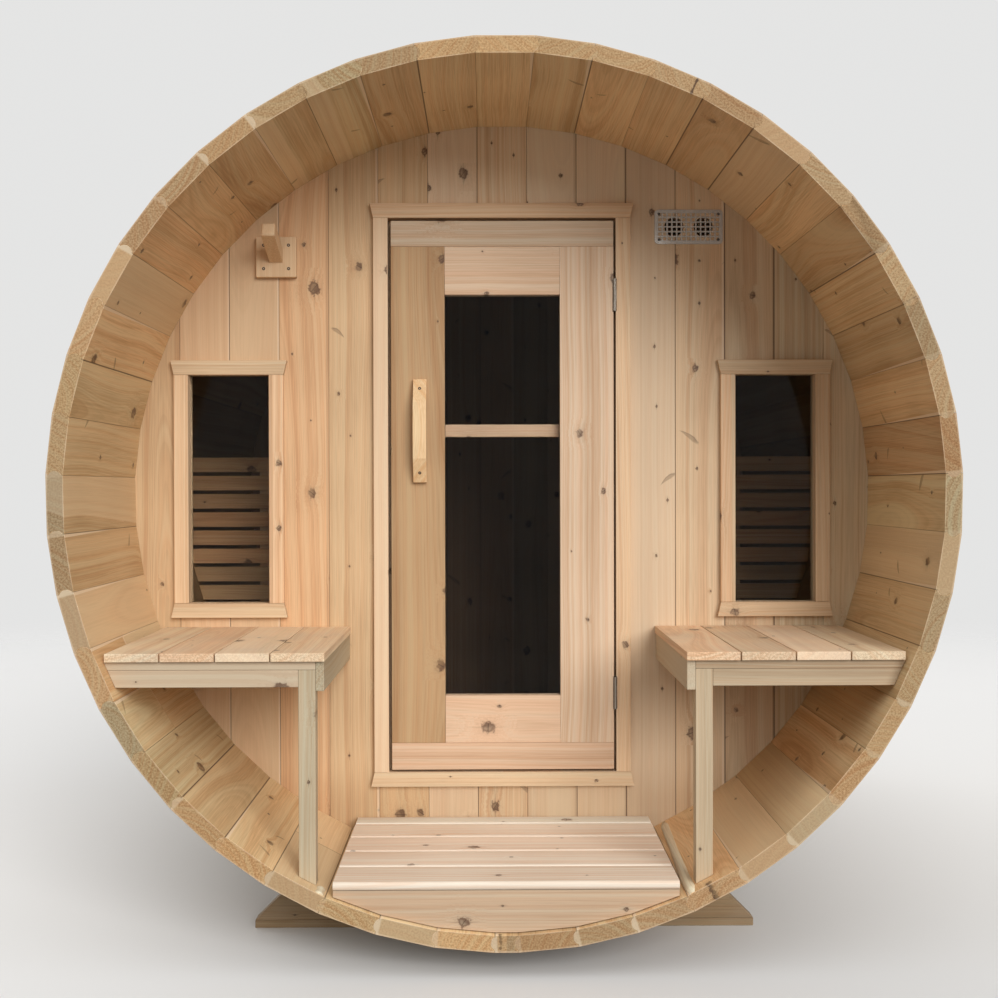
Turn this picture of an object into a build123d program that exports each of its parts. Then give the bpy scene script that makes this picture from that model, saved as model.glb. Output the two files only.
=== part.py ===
from build123d import *
from math import cos, radians, sin, sqrt
import os

# Barrel sauna with an open porch, two porch benches, a glazed door and two fixed windows
# Millimetres: the front faces -Y, Z is up, and the ground is Z = 0 under the barrel's middle

# Barrel of bead-and-cove staves
barrel_radius = 1000.0  # axis to the flat outer face of a stave
barrel_length = 2400.0
stave_thickness = 38.0
stave_count = 47
closing_angle = 3.0  # the narrow stave that closes the ring at the bottom
stave_gap = 0.4
bead_rise = 9.0
bead_lip = 4.0
croze_depth = 10.0
croze_fit = 0.4

# Steel bands round the staves
band_width = 25.0
band_thickness = 1.2
band_inset = 110.0
band_ear = 17.0
band_split = 12.0
band_clamp_stave = 6

# Seating clearance between pieces that rest on each other
seat = 0.3

# End walls of tongue-and-groove boards
wall_thickness = 38.0
wall_board = 130.0
wall_board_gap = 0.4
tongue_depth = 9.0
tongue_thickness = 10.0
tongue_fit = 0.4
porch_depth = 600.0
rear_inset = 50.0

# Door opening, frame and casing
door_boards = 5  # wall boards left out for the door
jamb_thickness = 24.0
frame_fit = 0.4
stop_thickness = 12.5
stop_width = 21.0
casing_thickness = 19.0
casing_width = 38.0
casing_ear = 9.0  # how far the sloped ends of heads and sills stand past the side casings

# Door leaf
leaf_width = 582.0
leaf_thickness = 38.0
leaf_sill_height = 127.0  # porch deck to the leaf's lower edge
wall_over_leaf = 258.6  # leaf's upper edge to the top of the wall
stile_width = 140.0
top_rail_height = 67.0
upper_rail_height = 126.0
lower_rail_height = 124.0
bottom_rail_height = 70.0
leaf_joint = 0.2
leaf_recess = 1.0
lock_gap = 8.0
hinge_gap = 6.0
head_gap = 8.0
sill_gap = 6.5
stop_gap = 5.5
glass_thickness = 6.0
glass_bite = 8.0
glass_fit = 0.5
cross_bar_height = 33.0
cross_bar_thickness = 17.0
cross_bar_height_up = 888.5  # leaf's lower edge to the bar's middle
cross_bar_reach = 38.0

# Door pull and hinges
pull_length = 269.0
pull_width = 35.0
pull_rise = 45.0
pull_shoulder = 40.5  # rise where each sloping foot meets the grip
pull_foot = 14.0  # thickness at the two tips
pull_slope = 62.0  # length of each sloping foot
pull_seat = 36.0  # length of each flat seat on the stile
pull_grip = 18.0
pull_height_up = 886.5  # leaf's lower edge to the pull's middle
pull_edge_inset = 76.0  # leaf's free edge to the pull's middle
hinge_length = 84.0
hinge_radius = 4.0
hinge_plate = 1.5
hinge_plate_depth = 21.0
hinge_top_inset = 194.0
hinge_bottom_inset = 200.0
knuckle_gap = 0.4

# Windows
window_rough_width = 260.0
window_over_bench = 63.3  # bench top to the pane's lower edge
window_top = 312.0  # height above the barrel's axis
window_side_gap = 51.0  # rough opening to the staves, at the casing's far corner
window_jamb = 25.0

# Vent grille and ports
vent_door_gap = 66.0  # door casing to the plate
vent_edge_gap = 22.5  # staves to the plate's near corner
vent_width = 179.0
vent_height = 90.0
vent_plate = 1.5
vent_corner = 10.0
vent_columns = 13
vent_rows = 6
vent_pitch = 12.6
vent_hole = 8.8
port_diameter = 50.0
port_spacing = 77.0

# Coat hook
hook_size = 105.0
hook_thickness = 19.0
hook_stave_gap = 107.5  # staves to the plate's middle
hook_bearing = -43.6  # degrees clockwise from the top
peg_width = 35.0
peg_length = 138.0
peg_tilt = 19.0
peg_round = 6.0

# Porch deck and room floor
deck_side_gap = 33.2  # staves to the boards' ends
deck_board = 127.0
deck_pitch = 130.0
deck_thickness = 19.0
deck_round = 8.0
deck_nose_inset = 10.0
runner_thickness = 38.0
runner_height = 95.0
runner_side_inset = 81.0  # boards' ends to the side runners' middles
fascia_thickness = 19.0
fascia_inset = 14.0
fascia_gap = 2.5  # under the fascia, to the staves

# Porch benches
aisle_half_width = 400.0
bench_height = 501.0  # deck to bench top
bench_gap = 3.0
bench_side_gap = 4.2  # staves to the outer board
bench_count = 4
bench_thickness = 19.0
bench_front_inset = 30.0
bench_frame = 38.0
bench_frame_inset = 12.0
apron_height = 66.0
apron_thickness = 19.0
apron_inset = 2.0

# Slatted panels inside the room
slat_height = 44.5
slat_pitch = 55.6
slat_count = 13
slat_panel_height = 959.0  # floor to the top slat's upper edge
slat_thickness = 19.0
slat_setback = 574.0
upright_size = 38.0
upright_inner_inset = 20.0
upright_outer_inset = 218.0

# Cradles
cradle_height = 140.0
cradle_half_length = 610.0
cradle_thickness = 38.0
cradle_web = 38.0
cradle_inset = 370.0
base_strip = 19.0

# Derived sizes
stave_angle = (360.0 - closing_angle) / stave_count
corner_radius = barrel_radius / cos(radians(stave_angle / 2))
closing_radius = corner_radius * cos(radians(closing_angle / 2))
inner_radius = barrel_radius - stave_thickness
inner_corner = inner_radius / cos(radians(stave_angle / 2))
cradle_arc = corner_radius + seat
axis_height = base_strip + seat + cradle_web + cradle_arc
croze_floor = inner_radius + croze_depth
wall_radius = croze_floor - croze_fit
front_edge = -barrel_length / 2
wall_front = front_edge + porch_depth
wall_back = wall_front + wall_thickness
rear_back = barrel_length / 2 - rear_inset
rear_front = rear_back - wall_thickness
floor_level = -(closing_radius - stave_thickness) + 2 * seat + runner_height + deck_thickness
board_tops = floor_level - deck_thickness - seat
floor_half_width = sqrt(inner_radius**2 - (floor_level - deck_thickness) ** 2) - deck_side_gap
runner_offset = floor_half_width - runner_side_inset
bench_level = floor_level + bench_height
bench_outer = sqrt(inner_radius**2 - (bench_level - bench_thickness) ** 2) - bench_side_gap
bench_pitch = (bench_outer - aisle_half_width + bench_gap) / bench_count
bench_board = bench_pitch - bench_gap
door_rough = wall_board * door_boards / 2
leaf_half = leaf_width / 2
leaf_bottom = floor_level + leaf_sill_height
leaf_top = wall_radius - wall_over_leaf
leaf_front = wall_front - casing_thickness + leaf_recess
leaf_back = leaf_front + leaf_thickness
reveal_left = -leaf_half - lock_gap
reveal_right = leaf_half + hinge_gap
reveal_top = leaf_top + head_gap
reveal_bottom = leaf_bottom - sill_gap
jamb_inner = door_rough - frame_fit - jamb_thickness
hinge_levels = (leaf_top - hinge_top_inset, leaf_bottom + hinge_bottom_inset)
window_bottom = bench_level + window_over_bench
window_far = max(window_top, -window_bottom) + casing_width
window_outer_rough = sqrt(inner_radius**2 - window_far**2) - window_side_gap
window_inner_rough = window_outer_rough - window_rough_width
window_middle = (window_inner_rough + window_outer_rough) / 2
window_half = window_rough_width / 2 - window_jamb
vent_middle = reveal_right + casing_width + vent_door_gap + vent_width / 2
vent_level = sqrt(inner_radius**2 - (vent_middle + vent_width / 2) ** 2) - vent_edge_gap - vent_height / 2
hook_centre = (inner_radius - hook_stave_gap) * sin(radians(hook_bearing))
hook_level = (inner_radius - hook_stave_gap) * cos(radians(hook_bearing))
slat_top = floor_level + slat_panel_height
slat_outer = sqrt(inner_radius**2 - slat_top**2)

# Joints between the staves, as angles clockwise from the top seen from the front
joint_angles = [stave_angle * (i - (stave_count - 1) / 2 - 0.5) for i in range(stave_count + 1)]


def front_plane(y):
    """A plane across the barrel at depth y, facing the front, with its origin on the barrel's axis."""
    return Plane(origin=(0, y, axis_height), x_dir=(1, 0, 0), z_dir=(0, -1, 0))


def level_plane(z):
    """A horizontal plane at a height above or below the barrel's axis."""
    return Plane.XY.offset(axis_height + z)


def ring_points(radius):
    """Corners of the stave polygon at one radius, in the plane across the barrel."""
    return [(radius * sin(radians(a)), radius * cos(radians(a))) for a in joint_angles]


def save(piece, name):
    """Labels a finished piece and writes it."""
    piece.part.label = name
    export_step(piece.part, f"parts/{name}.step")


os.makedirs("parts", exist_ok=True)


# Stave edge: a lip, the round bead or cove, and a lip again, on one ray from the axis
def stave_sketch(half_angle, radius, thickness):
    turn = radians(half_angle) - stave_gap / 2 / radius
    outer, inner = radius / cos(turn), (radius - thickness) / cos(turn)
    top_lip, bottom_lip, middle = outer - bead_lip, inner + bead_lip, (outer + inner) / 2
    s, c = sin(turn), cos(turn)
    with BuildSketch() as sketch:
        with BuildLine():
            Line((-outer * s, outer * c), (outer * s, outer * c))
            Line((outer * s, outer * c), (top_lip * s, top_lip * c))
            ThreePointArc(
                (top_lip * s, top_lip * c),
                (middle * s + bead_rise * c, middle * c - bead_rise * s),
                (bottom_lip * s, bottom_lip * c),
            )
            Line((bottom_lip * s, bottom_lip * c), (inner * s, inner * c))
            Line((inner * s, inner * c), (-inner * s, inner * c))
            Line((-inner * s, inner * c), (-bottom_lip * s, bottom_lip * c))
            ThreePointArc(
                (-bottom_lip * s, bottom_lip * c),
                (-middle * s + bead_rise * c, middle * c + bead_rise * s),
                (-top_lip * s, top_lip * c),
            )
            Line((-top_lip * s, top_lip * c), (-outer * s, outer * c))
        make_face()
    return sketch.sketch


# One full stave and the narrow closing stave, each with a croze groove for either end wall
def stave_part(half_angle, radius):
    with BuildPart() as stave:
        with BuildSketch(Plane.XY.offset(-barrel_length / 2)):
            add(stave_sketch(half_angle, radius, stave_thickness))
        extrude(amount=barrel_length)
        with BuildSketch(Plane.XZ.offset(-croze_floor)):
            with Locations(
                (0, -(wall_front + wall_back) / 2), (0, -(rear_front + rear_back) / 2)
            ):
                Rectangle(barrel_radius, wall_thickness + 2 * croze_fit)
        extrude(amount=croze_floor / 2, mode=Mode.SUBTRACT)
    return stave.part


full_stave = stave_part(stave_angle / 2, barrel_radius)
narrow_stave = stave_part(closing_angle / 2, closing_radius)

# Eight runs of staves round the ring, counted clockwise from the closing stave at the bottom
stave_runs = {
    "staves_lower_left": (4, 9),
    "staves_left": (10, 14),
    "staves_upper_left": (15, 20),
    "staves_top": (21, 27),
    "staves_upper_right": (28, 33),
    "staves_right": (34, 38),
    "staves_lower_right": (39, 44),
    "staves_bottom": (45, 50),
}
for name, (first, last) in stave_runs.items():
    with BuildPart(front_plane(0)) as staves:
        for number in range(first, last + 1):
            turn = joint_angles[0] + stave_angle * ((number - 1) % stave_count + 0.5)
            with Locations(Rotation(0, 0, -turn)):
                add(full_stave)
        if name == "staves_bottom":
            with Locations(Rotation(0, 0, 180)):
                add(narrow_stave)
    save(staves, name)

# Steel bands that follow the flats, with two ears each where the clamp screw draws them together
with BuildPart() as steel_bands:
    for y in (front_edge + band_inset, 0, -front_edge - band_inset):
        with BuildSketch(front_plane(y + band_width / 2)):
            Polygon(*ring_points(corner_radius + seat + band_thickness), align=None)
            Polygon(*ring_points(corner_radius + seat), align=None, mode=Mode.SUBTRACT)
            clamp_turn = 90 - joint_angles[0] - stave_angle * (band_clamp_stave - 0.5)
            with PolarLocations(barrel_radius + seat + band_ear / 2, 1, clamp_turn):
                Rectangle(band_ear, band_split + 2 * band_thickness)
                Rectangle(3 * band_ear, band_split, mode=Mode.SUBTRACT)
        extrude(amount=band_width)
save(steel_bands, "steel_bands")


# End wall boards: tongue on the right edge, groove on the left, cut round to the barrel
def board_sketch(numbers, y_front):
    middle = y_front + wall_thickness / 2
    width = wall_board - wall_board_gap
    for number in numbers:
        with Locations((number * wall_board, middle)):
            Rectangle(width, wall_thickness)
        with Locations((number * wall_board + width / 2, middle)):
            Rectangle(2 * tongue_depth, tongue_thickness)
    for number in numbers:
        with Locations((number * wall_board - wall_board / 2, middle)):
            Rectangle(
                2 * (tongue_depth + tongue_fit),
                tongue_thickness + 2 * tongue_fit,
                mode=Mode.SUBTRACT,
            )


def single_boards(numbers, y_front, low, high):
    boards = []
    for number in numbers:
        with BuildPart() as board:
            with BuildSketch(level_plane(low)):
                board_sketch([number], y_front)
            extrude(amount=high - low)
            with BuildSketch(front_plane(y_front + wall_thickness)):
                Circle(wall_radius)
            extrude(amount=wall_thickness, mode=Mode.INTERSECT)
        boards.append(board.part)
    return boards


last_board = int((wall_radius / wall_board) + 0.5)
middle_boards = list(range(-(door_boards // 2), door_boards // 2 + 1))
side_boards = list(range(door_boards // 2 + 1, last_board + 1))

for side, name in ((-1, "front_wall_left"), (1, "front_wall_right")):
    trimmed = []
    for number in side_boards:
        # A board in the window's span loses its tongue there too; its neighbours keep their full width
        in_span = window_inner_rough < number * wall_board < window_outer_rough
        extra = 2 * (tongue_depth + tongue_fit) if in_span else 0
        with BuildPart() as board:
            add(single_boards([side * number], wall_front, -wall_radius, wall_radius)[0])
            with BuildSketch(front_plane(wall_back)):
                with Locations((side * window_middle, (window_bottom + window_top) / 2)):
                    Rectangle(
                        window_rough_width + extra,
                        window_top - window_bottom + 2 * window_jamb + 2 * frame_fit,
                    )
                with Locations((0, (reveal_bottom + reveal_top) / 2)):
                    Rectangle(2 * door_rough, reveal_top - reveal_bottom + 2 * jamb_thickness)
                if side > 0:
                    with Locations((vent_middle, vent_level)):
                        with GridLocations(port_spacing, 0, 2, 1):
                            Circle(port_diameter / 2)
            extrude(amount=wall_thickness, mode=Mode.SUBTRACT)
        trimmed.append(board.part)
    with BuildPart() as front_wall_side:
        for board in trimmed:
            add(board)
    save(front_wall_side, name)

with BuildPart() as front_wall_over_door:
    for board in single_boards(
        middle_boards, wall_front, reveal_top + jamb_thickness + frame_fit, wall_radius
    ):
        add(board)
save(front_wall_over_door, "front_wall_over_door")

with BuildPart() as front_wall_under_door:
    for board in single_boards(
        middle_boards, wall_front, -wall_radius, reveal_bottom - jamb_thickness - frame_fit
    ):
        add(board)
save(front_wall_under_door, "front_wall_under_door")

with BuildPart() as rear_wall:
    for board in single_boards(
        range(-last_board, last_board + 1), rear_front, -wall_radius, wall_radius
    ):
        add(board)
save(rear_wall, "rear_wall")

# Door frame: head and sill across the rough opening, with the jambs between them
with BuildPart() as door_frame:
    with BuildSketch(front_plane(wall_back)):
        for z in (reveal_top + jamb_thickness / 2, reveal_bottom - jamb_thickness / 2):
            with Locations((0, z)):
                Rectangle(2 * (door_rough - frame_fit), jamb_thickness)
        with Locations((0, (reveal_bottom + reveal_top) / 2)):
            with GridLocations(2 * jamb_inner + jamb_thickness, 0, 2, 1):
                Rectangle(jamb_thickness, reveal_top - reveal_bottom - 2 * seat)
    extrude(amount=wall_thickness)
save(door_frame, "door_frame")

# Door stops inside the frame, a little behind the leaf
with BuildPart() as door_stops:
    with BuildSketch(front_plane(wall_back)):
        with Locations((0, (reveal_bottom + reveal_top) / 2)):
            with GridLocations(2 * (jamb_inner - seat) - stop_width, 0, 2, 1):
                Rectangle(stop_width, reveal_top - reveal_bottom - 2 * seat)
        for z in (reveal_top - seat - stop_width / 2, reveal_bottom + seat + stop_width / 2):
            with Locations((0, z)):
                Rectangle(2 * (jamb_inner - stop_width - 2 * seat), stop_width)
    extrude(amount=wall_back - leaf_back - stop_gap)
save(door_stops, "door_stops")



# Four casing boards round an opening: the head's and the sill's sloped ends stand out a little
def casing_boards(left, right, bottom, top):
    with BuildPart() as boards:
        with BuildSketch(front_plane(wall_front - seat)):
            with Locations(((left + right) / 2, (bottom + top) / 2)):
                with GridLocations(right - left + casing_width, 0, 2, 1):
                    Rectangle(casing_width, top - bottom - 2 * seat)
            for z, up in ((top, 1), (bottom, -1)):
                with BuildLine():
                    Polyline(
                        (left - casing_width, z),
                        (right + casing_width, z),
                        (right + casing_width + casing_ear, z + up * casing_width),
                        (left - casing_width - casing_ear, z + up * casing_width),
                        close=True,
                    )
                make_face()
        extrude(amount=casing_thickness - seat)
    return boards.part


# Door casing on the wall's face, with the fixed hinge plates let into its right side
with BuildPart() as door_casing:
    add(casing_boards(reveal_left, reveal_right, reveal_bottom, reveal_top))
    with BuildSketch(front_plane(wall_front - seat)):
        for z in hinge_levels:
            with Locations((reveal_right, z)):
                Rectangle(2 * (hinge_plate + seat), hinge_length + 2 * seat)
    extrude(amount=casing_thickness, mode=Mode.SUBTRACT)
save(door_casing, "door_casing")

# Door leaf: two stiles between a full-width top and bottom rail, with two rails round the glass
sight_bottom = leaf_bottom + bottom_rail_height + lower_rail_height
sight_top = leaf_top - top_rail_height - upper_rail_height
sight_half = leaf_half - stile_width
stile_low = leaf_bottom + bottom_rail_height + leaf_joint
stile_high = leaf_top - top_rail_height - leaf_joint
glass_middle = (leaf_front + leaf_back) / 2


def leaf_bar(x0, x1, z0, z1):
    with BuildPart() as bar:
        with BuildSketch(front_plane(leaf_back)):
            with Locations(((x0 + x1) / 2, (z0 + z1) / 2)):
                Rectangle(x1 - x0, z1 - z0)
        extrude(amount=leaf_thickness)
        with BuildSketch(front_plane(glass_middle + glass_thickness / 2 + glass_fit)):
            with Locations((0, (sight_bottom + sight_top) / 2)):
                Rectangle(
                    2 * (sight_half + glass_bite + glass_fit),
                    sight_top - sight_bottom + 2 * (glass_bite + glass_fit),
                )
        extrude(amount=glass_thickness + 2 * glass_fit, mode=Mode.SUBTRACT)
    return bar.part


with BuildPart() as door_top_rail:
    add(leaf_bar(-leaf_half, leaf_half, leaf_top - top_rail_height, leaf_top))
save(door_top_rail, "door_top_rail")

with BuildPart() as door_bottom_rail:
    add(leaf_bar(-leaf_half, leaf_half, leaf_bottom, leaf_bottom + bottom_rail_height))
save(door_bottom_rail, "door_bottom_rail")

with BuildPart() as door_handle_stile:
    add(leaf_bar(-leaf_half, -sight_half, stile_low, stile_high))
save(door_handle_stile, "door_handle_stile")

with BuildPart() as door_hinge_stile:
    add(leaf_bar(sight_half, leaf_half, stile_low, stile_high))
    with BuildSketch(front_plane(leaf_front)):
        for z in hinge_levels:
            with Locations((leaf_half, z)):
                Rectangle(2 * (hinge_plate + seat), hinge_length + 2 * seat)
    extrude(amount=-(hinge_plate_depth - hinge_radius + seat), mode=Mode.SUBTRACT)
save(door_hinge_stile, "door_hinge_stile")

with BuildPart() as door_upper_rail:
    add(leaf_bar(-sight_half + leaf_joint, sight_half - leaf_joint, sight_top, stile_high))
save(door_upper_rail, "door_upper_rail")

with BuildPart() as door_lower_rail:
    add(leaf_bar(-sight_half + leaf_joint, sight_half - leaf_joint, stile_low, sight_bottom))
save(door_lower_rail, "door_lower_rail")

with BuildPart() as door_glass:
    with BuildSketch(front_plane(glass_middle + glass_thickness / 2)):
        with Locations((0, (sight_bottom + sight_top) / 2)):
            Rectangle(2 * (sight_half + glass_bite), sight_top - sight_bottom + 2 * glass_bite)
    extrude(amount=glass_thickness)
save(door_glass, "door_glass")

# Cross bar on the room side of the leaf
with BuildPart() as door_cross_bar:
    with BuildSketch(front_plane(leaf_back + seat + cross_bar_thickness)):
        with Locations((0, leaf_bottom + cross_bar_height_up)):
            Rectangle(2 * (sight_half + cross_bar_reach), cross_bar_height)
    extrude(amount=cross_bar_thickness)
save(door_cross_bar, "door_cross_bar")

# Bowed wooden pull: two sloping feet and a slightly crowned grip, hollowed out behind
with BuildPart() as door_handle:
    face = leaf_front - seat
    base = axis_height + leaf_bottom + pull_height_up
    half = pull_length / 2
    shoulder = half - pull_slope
    hollow = half - pull_seat
    with BuildSketch(Plane.YZ.offset(-leaf_half + pull_edge_inset - pull_width / 2)):
        with BuildLine():
            Polyline(
                (face, base - hollow),
                (face, base - half),
                (face - pull_foot, base - half),
                (face - pull_shoulder, base - shoulder),
            )
            ThreePointArc(
                (face - pull_shoulder, base - shoulder),
                (face - pull_rise, base),
                (face - pull_shoulder, base + shoulder),
            )
            Polyline(
                (face - pull_shoulder, base + shoulder),
                (face - pull_foot, base + half),
                (face, base + half),
                (face, base + hollow),
            )
            ThreePointArc(
                (face, base + hollow),
                (face - pull_rise + pull_grip, base),
                (face, base - hollow),
            )
        make_face()
    extrude(amount=pull_width)
save(door_handle, "door_handle")

# Butt hinges in the gap at the right edge: the outer knuckles turn with the leaf
hinge_x = (leaf_half + reveal_right) / 2
hinge_y = leaf_front - hinge_radius
knuckle = hinge_length / 3

with BuildPart() as door_hinges:
    plate_length = hinge_plate_depth - seat
    for z in hinge_levels:
        with BuildSketch(level_plane(z - hinge_length / 2)):
            with Locations((hinge_x, hinge_y)):
                Circle(hinge_radius)
            with Locations((leaf_half - hinge_plate / 2, hinge_y + plate_length / 2)):
                Rectangle(hinge_plate, plate_length)
        extrude(amount=hinge_length)
        with BuildSketch(level_plane(z - knuckle / 2 - knuckle_gap)):
            with Locations((hinge_x, hinge_y)):
                Rectangle(4 * hinge_radius, 2 * (hinge_radius + seat))
        extrude(amount=knuckle + 2 * knuckle_gap, mode=Mode.SUBTRACT)
save(door_hinges, "door_hinges")

with BuildPart() as frame_hinges:
    plate_length = wall_front - seat - hinge_y
    behind_knuckle = plate_length - hinge_radius - seat
    for z in hinge_levels:
        with BuildSketch(level_plane(z - knuckle / 2)):
            with Locations((hinge_x, hinge_y)):
                Circle(hinge_radius)
            with Locations((reveal_right + hinge_plate / 2, hinge_y + plate_length / 2)):
                Rectangle(hinge_plate, plate_length)
        extrude(amount=knuckle)
        with BuildSketch(level_plane(z - hinge_length / 2)):
            with Locations((reveal_right + hinge_plate / 2, wall_front - seat - behind_knuckle / 2)):
                Rectangle(hinge_plate, behind_knuckle)
        extrude(amount=hinge_length)
save(frame_hinges, "frame_hinges")

# Fixed windows: a lining in the rough opening, the pane in its groove, and the casing on the wall
window_centre = (window_bottom + window_top) / 2
window_height = window_top - window_bottom
for side, name in ((-1, "left"), (1, "right")):
    x = side * window_middle
    with BuildPart() as window_frame:
        with BuildSketch(front_plane(wall_back)):
            with Locations((x, window_centre)):
                with GridLocations(0, window_height + window_jamb, 1, 2):
                    Rectangle(window_rough_width - 2 * frame_fit, window_jamb)
                with GridLocations(2 * window_half + window_jamb - frame_fit, 0, 2, 1):
                    Rectangle(window_jamb - frame_fit, window_height - 2 * leaf_joint)
        extrude(amount=wall_thickness)
        with BuildSketch(front_plane((wall_front + wall_back) / 2 + glass_thickness / 2 + glass_fit)):
            with Locations((x, window_centre)):
                Rectangle(
                    2 * (window_half + glass_bite + glass_fit),
                    window_height + 2 * (glass_bite + glass_fit),
                )
        extrude(amount=glass_thickness + 2 * glass_fit, mode=Mode.SUBTRACT)
    save(window_frame, f"window_frame_{name}")

    with BuildPart() as window_glass:
        with BuildSketch(front_plane((wall_front + wall_back) / 2 + glass_thickness / 2)):
            with Locations((x, window_centre)):
                Rectangle(2 * (window_half + glass_bite), window_height + 2 * glass_bite)
        extrude(amount=glass_thickness)
    save(window_glass, f"window_glass_{name}")

    with BuildPart() as window_casing:
        add(casing_boards(x - window_half, x + window_half, window_bottom, window_top))
    save(window_casing, f"window_casing_{name}")

# Vent grille: a perforated plate over the two ports
with BuildPart() as vent_grille:
    with BuildSketch(front_plane(wall_front - seat)):
        with Locations((vent_middle, vent_level)):
            RectangleRounded(vent_width, vent_height, vent_corner)
            with GridLocations(vent_pitch, vent_pitch, vent_columns, vent_rows):
                Rectangle(vent_hole, vent_hole, mode=Mode.SUBTRACT)
    extrude(amount=vent_plate)
save(vent_grille, "vent_grille")

# Coat hook: a square plate with a square peg that rises as it comes forward
with BuildPart() as coat_hook:
    with BuildSketch(front_plane(wall_front - seat)):
        with Locations((hook_centre, hook_level)):
            Rectangle(hook_size, hook_size)
    extrude(amount=hook_thickness)
    tilt = radians(peg_tilt)
    peg_root = Plane(
        origin=(hook_centre, wall_front - seat - hook_thickness / 2, axis_height + hook_level),
        x_dir=(1, 0, 0),
        z_dir=(0, -cos(tilt), sin(tilt)),
    )
    with BuildSketch(peg_root):
        Rectangle(peg_width, peg_width)
    extrude(amount=peg_length + hook_thickness / 2)
    fillet(coat_hook.faces().sort_by(Axis.Y)[0].edges(), peg_round)
save(coat_hook, "coat_hook")


# Porch deck and room floor: rounded boards across, on runners that stand on the staves
def barrel_cut(y_front, y_back, clearance):
    with BuildPart() as core:
        with BuildSketch(front_plane(y_back)):
            Polygon(*ring_points(inner_corner - clearance), align=None)
        extrude(amount=y_back - y_front)
    return core.part


def floor_boards(y_front, y_back):
    room = y_back - y_front
    full = int(room // deck_pitch)
    last = room - full * deck_pitch
    spans = [(y_front + i * deck_pitch, deck_board) for i in range(full)]
    if last > 2 * deck_round:
        spans.append((y_front + full * deck_pitch, last - (deck_pitch - deck_board)))
    with BuildPart() as boards:
        for start, width in spans:
            with BuildSketch(Plane.YZ.offset(-floor_half_width)):
                with Locations((start + width / 2, axis_height + floor_level - deck_thickness / 2)):
                    RectangleRounded(width, deck_thickness, deck_round)
            extrude(amount=2 * floor_half_width)
    return boards.part


def floor_runners(y_front, y_back):
    with BuildPart() as runners:
        with BuildSketch(level_plane(board_tops)):
            with Locations((0, (y_front + y_back) / 2)):
                with GridLocations(runner_offset, 0, 3, 1):
                    Rectangle(runner_thickness, y_back - y_front)
        extrude(amount=-2 * runner_height)
        add(barrel_cut(y_front, y_back, seat), mode=Mode.INTERSECT)
    return runners.part


deck_front = front_edge + deck_nose_inset
deck_back = wall_front - seat
with BuildPart() as deck_boards:
    add(floor_boards(deck_front, deck_back + deck_pitch - deck_board))
save(deck_boards, "deck_boards")

fascia_front = front_edge + fascia_inset
with BuildPart() as deck_runners:
    add(floor_runners(fascia_front + fascia_thickness + seat, deck_back))
save(deck_runners, "deck_runners")

with BuildPart() as deck_fascia:
    with BuildSketch(front_plane(fascia_front + fascia_thickness)):
        Polygon(*ring_points(inner_corner - fascia_gap), align=None)
        with Locations((0, board_tops)):
            Rectangle(
                2 * barrel_radius,
                2 * barrel_radius,
                align=(Align.CENTER, Align.MIN),
                mode=Mode.SUBTRACT,
            )
        Rectangle(2 * floor_half_width, 2 * barrel_radius, mode=Mode.INTERSECT)
    extrude(amount=fascia_thickness)
save(deck_fascia, "deck_fascia")

room_front = wall_back + seat
room_back = rear_front - seat
with BuildPart() as room_floor:
    add(floor_boards(room_front, room_back + deck_pitch - deck_board))
save(room_floor, "room_floor")

with BuildPart() as room_runners:
    add(floor_runners(room_front, room_back))
save(room_runners, "room_runners")

# Porch benches: four boards front to back, on a front and a rear rail, with a post and an apron
bench_front = front_edge + bench_front_inset
bench_back = wall_front - seat
bench_under = bench_level - bench_thickness - seat
strip_under = bench_under - bench_thickness
rail_under = strip_under - seat - bench_frame
rail_front = bench_front + bench_frame_inset
rail_start = aisle_half_width + apron_inset + apron_thickness + seat
post_end = rail_start + bench_frame
for side, name in ((-1, "left"), (1, "right")):
    with BuildPart() as bench_boards:
        with BuildSketch(level_plane(bench_level - bench_thickness)):
            for i in range(bench_count):
                middle = aisle_half_width + i * bench_pitch + bench_board / 2
                with Locations((side * middle, (bench_front + bench_back) / 2)):
                    Rectangle(bench_board, bench_back - bench_front)
        extrude(amount=bench_thickness)
        add(barrel_cut(bench_front, bench_back, seat), mode=Mode.INTERSECT)
    save(bench_boards, f"bench_boards_{name}")

    with BuildPart() as bench_rails:
        for y, start in (
            (rail_front + bench_frame / 2, post_end + seat),
            (bench_back - bench_frame / 2, rail_start),
        ):
            with BuildSketch(Plane.YZ.offset(side * rail_start)):
                with Locations((y, axis_height + bench_under - bench_thickness / 2)):
                    Rectangle(bench_frame, bench_thickness)
            extrude(amount=side * barrel_radius)
            with BuildSketch(Plane.YZ.offset(side * start)):
                with Locations((y, axis_height + rail_under + bench_frame / 2)):
                    Rectangle(bench_frame, bench_frame)
            extrude(amount=side * barrel_radius)
        add(barrel_cut(bench_front, bench_back, seat), mode=Mode.INTERSECT)
    save(bench_rails, f"bench_rails_{name}")

    with BuildPart() as bench_post:
        with BuildSketch(level_plane(strip_under - seat)):
            with Locations((side * (rail_start + bench_frame / 2), rail_front + bench_frame / 2)):
                Rectangle(bench_frame, bench_frame)
        extrude(amount=-barrel_radius)
        add(barrel_cut(bench_front, bench_back, seat), mode=Mode.INTERSECT)
    save(bench_post, f"bench_post_{name}")

    with BuildPart() as bench_apron:
        with BuildSketch(level_plane(bench_under - apron_height)):
            middle = aisle_half_width + apron_inset + apron_thickness / 2
            with Locations((side * middle, (rail_front + bench_back) / 2)):
                Rectangle(apron_thickness, bench_back - rail_front)
        extrude(amount=apron_height)
    save(bench_apron, f"bench_apron_{name}")

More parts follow.
